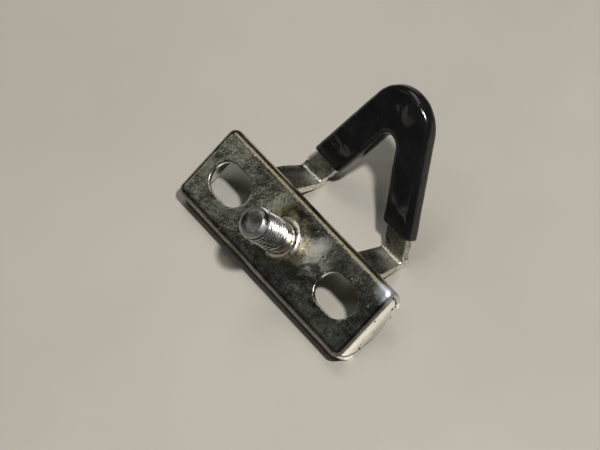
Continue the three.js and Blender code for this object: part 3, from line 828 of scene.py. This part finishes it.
def hinge_barrel(side, node):
    """The tube that a root of the strap ends in."""
    x0 = ROOT_INNER_X + 0.2
    x1 = ROOT_OUTER_X - 0.2
    edge = 0.22
    profile = arc((BARREL_RADIUS - edge, x0 + edge), edge, -math.pi / 2, 0, 4)
    profile += arc((BARREL_RADIUS - edge, x1 - edge), edge, 0, math.pi / 2, 4)
    profile += arc((BORE_RADIUS + edge, x1 - edge), edge, math.pi / 2, math.pi, 4)
    profile += arc((BORE_RADIUS + edge, x0 + edge), edge, math.pi, 1.5 * math.pi, 4)
    bm = around_pin(profile)
    if side < 0:
        bmesh.ops.scale(bm, vec=(-1, 1, 1), verts=bm.verts)
    barrel = to_object(node + "_tube", bm)
    finish_piece(barrel, "hook", node, INNER_STEEL)


def bearing_plate(side, node):
    """The plate inside an end tab that carries the pin."""
    outline = tab_outline(-SHEET - JOIN_GAP, JOIN_GAP, BEARING_DEPTH)
    blank = slab(outline, CHANNEL_END - BEARING_THICKNESS, CHANNEL_END, 0.2)
    plate = to_object(node + "_blank", blank)
    bar = rounded_bar(BORE_RADIUS, CHANNEL_END - 4, CHANNEL_END + 2, 0.1)
    bore = to_object("bore", around_pin(bar))
    boolean(plate, bore, "DIFFERENCE")
    if side < 0:
        plate.data.transform(Matrix.Diagonal((-1, 1, 1, 1)))
        plate.data.flip_normals()
    finish_piece(plate, "plate", node, INNER_STEEL)


def wire_along(points, radius, sides=12):
    """A round wire through points, with rounded ends."""
    sections = []
    count = len(points)
    side_axis = Vector((0, 0, 1))
    for i, point in enumerate(points):
        ahead = points[min(i + 1, count - 1)] - points[max(i - 1, 0)]
        ahead.normalize()
        across = ahead.cross(side_axis)
        if across.length < 0.1:
            across = ahead.cross(Vector((0, 1, 0)))
        across.normalize()
        side_axis = across.cross(ahead)
        size = radius * 0.55 if i in (0, count - 1) else radius
        ring = []
        for j in range(sides):
            turn = 2 * math.pi * j / sides
            ring.append(point + (across * math.cos(turn) + side_axis * math.sin(turn)) * size)
        sections.append(ring)
    return loft(sections)


def torsion_spring(side, node):
    """A coil on the pin, with one leg that runs from its outer end across the channel."""
    inner = ROOT_OUTER_X + 0.8
    outer = CHANNEL_END - BEARING_THICKNESS - 0.9
    steps = 24 * COIL_TURNS
    points = []
    for i in range(steps + 1):
        t = i / steps
        turn = t * COIL_TURNS * 2 * math.pi
        points.append(Vector((
            side * (inner + (outer - inner) * t),
            PIN.y + COIL_RADIUS * math.sin(turn),
            PIN.z + COIL_RADIUS * math.cos(turn))))
    leg_start = points[-1]
    for i in range(1, LEG_STEPS + 1):
        wave = 0.12 * math.sin(i * 0.4)
        points.append(leg_start + Vector((0, -LEG_STEP * i, wave)))
    spring = to_object(node + "_wire", wire_along(points, WIRE_RADIUS))
    finish_piece(spring, "plate", node, SPRING_STEEL, 60)


# ---- hook ------------------------------------------------------------------------------------

ROOT_LENGTH = math.hypot(CREASE.y - PIN.y, CREASE.z - PIN.z)
V_ALONG = Vector((0, math.cos(V_SLOPE), math.sin(V_SLOPE)))
V_UP = Vector((0, -math.sin(V_SLOPE), math.cos(V_SLOPE)))
ROOT_ALONG = Vector((0, -math.cos(ROOT_SLOPE), math.sin(ROOT_SLOPE)))
ROOT_UP = Vector((0, math.sin(ROOT_SLOPE), math.cos(ROOT_SLOPE)))
HALF_INSIDE = (math.pi - ROOT_SLOPE - V_SLOPE) / 2
BISECTOR = (ROOT_ALONG + V_ALONG).normalized()
CREASE_CENTRE = CREASE + BISECTOR * (CREASE_RADIUS / math.sin(HALF_INSIDE))
CREASE_TANGENT = CREASE_RADIUS / math.tan(HALF_INSIDE)


def ring_section(inner, outer, up, top, bottom, radius, steps=5, flat=6):
    """A rounded rectangle between two points, from top to bottom along up."""
    across = (outer - inner).normalized()
    width = (outer - inner).length
    radius = min(radius, (top - bottom) / 2 - 0.02)
    corners = (
        (width - radius, top - radius, math.pi / 2, 0),
        (width - radius, bottom + radius, 0, -math.pi / 2),
        (radius, bottom + radius, -math.pi / 2, -math.pi),
        (radius, top - radius, -math.pi, -1.5 * math.pi),
    )
    outline = []
    for u, w, start, end in corners:
        bend = arc((u, w), radius, start, end, steps)
        if outline:
            outline += line(outline[-1], bend[0], flat)
        outline += bend
    outline += line(outline[-1], outline[0], flat)
    return [inner + across * u + up * w for u, w in outline]


def v_edges(grow):
    """Leg lines and arc centres of the V's outline, grown on all sides."""
    sin = math.sin(LEG_LEAN)
    outer_radius = OUTER_RADIUS + grow
    inner_radius = INNER_RADIUS - grow
    outer_centre = OUTER_APEX - OUTER_RADIUS
    outer_line = outer_centre * sin + outer_radius
    inner_line = outer_line - STRAP_WIDTH - 2 * grow
    inner_centre = (inner_line - inner_radius) / sin
    return outer_line, inner_line, outer_centre, inner_centre, outer_radius, inner_radius


def v_point(x, s):
    """The point on the V's upper face that is x to the side and s beyond the creases."""
    return CREASE + V_ALONG * s + ALONG * x


def v_stations(grow, inner_start, outer_start, leg_steps, arc_steps):
    """Pairs of inner and outer points from the right leg's foot, over the apex, to the left's."""
    outer_line, inner_line, outer_centre, inner_centre, outer_radius, inner_radius = v_edges(grow)
    sin = math.sin(LEG_LEAN)
    cos = math.cos(LEG_LEAN)
    inner_end = inner_centre + inner_radius * sin
    outer_end = outer_centre + outer_radius * sin
    right = []
    for i in range(leg_steps):
        t = i / leg_steps
        si = inner_start + (inner_end - inner_start) * t
        so = outer_start + (outer_end - outer_start) * t
        right.append((((inner_line - si * sin) / cos, si), ((outer_line - so * sin) / cos, so)))
    pairs = list(right)
    for i in range(arc_steps + 1):
        turn = LEG_LEAN + (math.pi - 2 * LEG_LEAN) * i / arc_steps
        inner = (inner_radius * math.cos(turn), inner_centre + inner_radius * math.sin(turn))
        outer = (outer_radius * math.cos(turn), outer_centre + outer_radius * math.sin(turn))
        pairs.append((inner, outer))
    pairs += [((-a[0], a[1]), (-b[0], b[1])) for a, b in reversed(right)]
    return [(v_point(*a), v_point(*b)) for a, b in pairs]


def strap_foot(side):
    """Stations of one root and its crease, from the barrel to the start of the V."""
    outer_line, inner_line, *_ = v_edges(0)
    inner_x = inner_line / math.cos(LEG_LEAN)
    outer_x = outer_line / math.cos(LEG_LEAN)
    top = ROOT_LENGTH - BARREL_RADIUS - 0.15
    stations = []
    for i in range(13):
        s = top + (CREASE_TANGENT - top) * i / 12
        flare = smoothstep(0, 0.5 * ROOT_LENGTH, s)
        centre = CREASE + ROOT_ALONG * s
        a = centre + ALONG * side * (inner_x + (ROOT_INNER_X - inner_x) * flare)
        b = centre + ALONG * side * (outer_x + (ROOT_OUTER_X - outer_x) * flare)
        stations.append((a, b, ROOT_UP))
    for i in range(1, 10):
        t = i / 10
        up = ROOT_UP.slerp(V_UP, t)
        centre = CREASE_CENTRE - up * CREASE_RADIUS
        stations.append((centre + ALONG * side * inner_x, centre + ALONG * side * outer_x, up))
    return stations


def hook_strap():
    """One strip: up a root, round its crease, along the V and back the same way."""
    stations = list(strap_foot(1))
    pairs = v_stations(0, CREASE_TANGENT, CREASE_TANGENT, 26, 24)
    stations += [(a, b, V_UP) for a, b in pairs]
    stations += list(reversed(strap_foot(-1)))
    sections = []
    for a, b, up in stations:
        ring = ring_section(a, b, up, 0, -STRAP_THICKNESS, STRAP_EDGE)
        moved = []
        for point in ring:
            wave = noise.noise(point * 0.16) * 0.09 + noise.noise(point * 0.7) * 0.03
            moved.append(point + up * wave)
        sections.append(moved)
    strap = to_object("hook_strip", loft(sections))
    finish_piece(strap, "hook", "hook_strap", HOOK_CHROME, 40)


def sleeve_relief(point):
    """How far the vinyl stands off its nominal skin: soft lumps, a creased drip and a dent."""
    lumps = 0.10 * noise.noise(point * 0.20) + 0.05 * noise.noise(point * 0.55)
    drip = v_point(3.0, 38.5) + V_UP * FACE_COAT
    in_drip = 1 - smoothstep(0.5, 4.5, (point - drip).length)
    creases = noise.noise(Vector((point.x * 0.9, point.y * 1.6, point.z * 1.6 + 4.0)))
    dent = v_point(-2.5, 35.2) + V_UP * FACE_COAT
    in_dent = 1 - smoothstep(0.3, 1.7, (point - dent).length)
    return lumps + in_drip * (0.8 + 0.7 * creases) - 0.30 * in_dent


# A lip of the sleeve: how far each ring is drawn in, and how far it stands past the rim
SLEEVE_LIP = ((0.12, 0.25), (0.35, 0.42), (0.7, 0.48), (0.95, 0.3), (1.0, -1.2))
LIP_STRETCH = 0.7           # what the second number is scaled by


def hook_sleeve():
    """The vinyl over the V, with a rolled lip round each leg."""
    pairs = v_stations(COAT, SLEEVE_START, SLEEVE_START + SLEEVE_SLANT, 46, 44)
    sections = []
    for a, b in pairs:
        bottom = -STRAP_THICKNESS - FACE_COAT
        ring = ring_section(a, b, V_UP, FACE_COAT, bottom, SLEEVE_EDGE, 7, 8)
        middle = sum(ring, Vector()) / len(ring)
        moved = []
        for point in ring:
            away = (point - middle).normalized()
            moved.append(point + away * sleeve_relief(point))
        sections.append(moved)
    for end, step in ((0, 1), (-1, -2)):
        rim = sections[end]
        ahead = (sum(sections[step], Vector()) - sum(rim, Vector())).normalized()
        middle = sum(rim, Vector()) / len(rim)
        lips = []
        for inset, out in SLEEVE_LIP:
            back = ahead * (out * LIP_STRETCH)
            lips.append([point + (middle - point).normalized() * inset - back for point in rim])
        if end == 0:
            sections = list(reversed(lips)) + sections
        else:
            sections = sections + lips
    sleeve = to_object("vinyl_sleeve", loft(sections))
    finish_piece(sleeve, "hook", "hook_sleeve", VINYL, 50)


# ---- floor, lights and camera ----------------------------------------------------------------

CAMERA_TARGET = Vector((-0.0003, -0.0129, 0.012))
CAMERA_AZIMUTH = math.radians(59.24)
CAMERA_ELEVATION = math.radians(54.75)
CAMERA_ROLL = math.radians(-7.59)
CAMERA_DISTANCE = 0.9513
CAMERA_LENS = 204.0


def floor():
    """A plain pale floor, which is not attached to any of the part's bodies."""
    bm = bmesh.new()
    bmesh.ops.create_grid(bm, x_segments=8, y_segments=8, size=1.5)
    mesh = bpy.data.meshes.new("floor")
    bm.to_mesh(mesh)
    bm.free()
    ground = bpy.data.objects.new("floor", mesh)
    bpy.context.scene.collection.objects.link(ground)
    nodes = Nodes("floor_grey")
    cloud = nodes.noise(9, 4.0)
    base = nodes.colours(cloud, (0.3, (0.52, 0.495, 0.45)), (0.7, (0.58, 0.555, 0.505)))
    nodes.set(Base_Color=base, Metallic=0.25, Roughness=0.48)
    mesh.materials.append(nodes.material)


def area_light(name, direction, distance, size, power, colour):
    """A rectangular lamp that looks at the part from a direction."""
    data = bpy.data.lights.new(name, "AREA")
    data.shape = "RECTANGLE"
    data.size, data.size_y = size
    data.energy = power
    data.color = colour
    lamp = bpy.data.objects.new(name, data)
    towards = Vector(direction).normalized()
    lamp.location = CAMERA_TARGET + towards * distance
    lamp.rotation_mode = "QUATERNION"
    lamp.rotation_quaternion = towards.to_track_quat("Z", "Y")
    bpy.context.scene.collection.objects.link(lamp)


def lights():
    """Four lamps with their distances and sizes in metres and powers in watts, and a dim room."""
    area_light("key", (0.40, 0.08, 0.91), 1.6, (0.12, 0.12), 22, (1.0, 0.97, 0.92))
    area_light("ceiling", (-0.45, 0.30, 0.84), 1.7, (0.9, 0.7), 3.0, (1.0, 0.96, 0.88))
    area_light("rim", (-0.30, -0.15, 0.94), 2.0, (0.25, 0.2), 1.5, (0.92, 0.96, 1.0))
    area_light("card", (-0.665, -0.415, 0.621), 0.83, (0.18, 0.30), 0.055, (1.0, 1.0, 0.80))
    world = bpy.data.worlds.new("studio")
    world.use_nodes = True
    background = world.node_tree.nodes["Background"]
    background.inputs["Color"].default_value = (0.030, 0.030, 0.028, 1)
    background.inputs["Strength"].default_value = 1.0
    bpy.context.scene.world = world


def camera():
    """A long lens that looks down from beyond the right end and the side away from the hook."""
    data = bpy.data.cameras.new("camera")
    data.lens = CAMERA_LENS
    data.sensor_width = 36.0
    data.clip_start = 0.05
    data.clip_end = 20.0
    eye = bpy.data.objects.new("camera", data)
    level = math.cos(CAMERA_ELEVATION)
    back = Vector((
        math.sin(CAMERA_AZIMUTH) * level,
        -math.cos(CAMERA_AZIMUTH) * level,
        math.sin(CAMERA_ELEVATION)))
    eye.location = CAMERA_TARGET + back * CAMERA_DISTANCE
    eye.rotation_mode = "QUATERNION"
    roll = Matrix.Rotation(CAMERA_ROLL, 4, "Z").to_quaternion()
    eye.rotation_quaternion = back.to_track_quat("Z", "Y") @ roll
    bpy.context.scene.collection.objects.link(eye)
    bpy.context.scene.camera = eye


# ---- assembly --------------------------------------------------------------------------------

camera()
lights()
floor()
mounting_plate()
threaded_stud()
braze_collar()
pivot_pin()
hinge_barrel(-1, "hinge_barrel_left")
hinge_barrel(1, "hinge_barrel_right")
bearing_plate(-1, "bearing_plate_left")
bearing_plate(1, "bearing_plate_right")
torsion_spring(-1, "torsion_spring_left")
torsion_spring(1, "torsion_spring_right")
hook_strap()
hook_sleeve()

bpy.context.scene.view_settings.view_transform = "Standard"
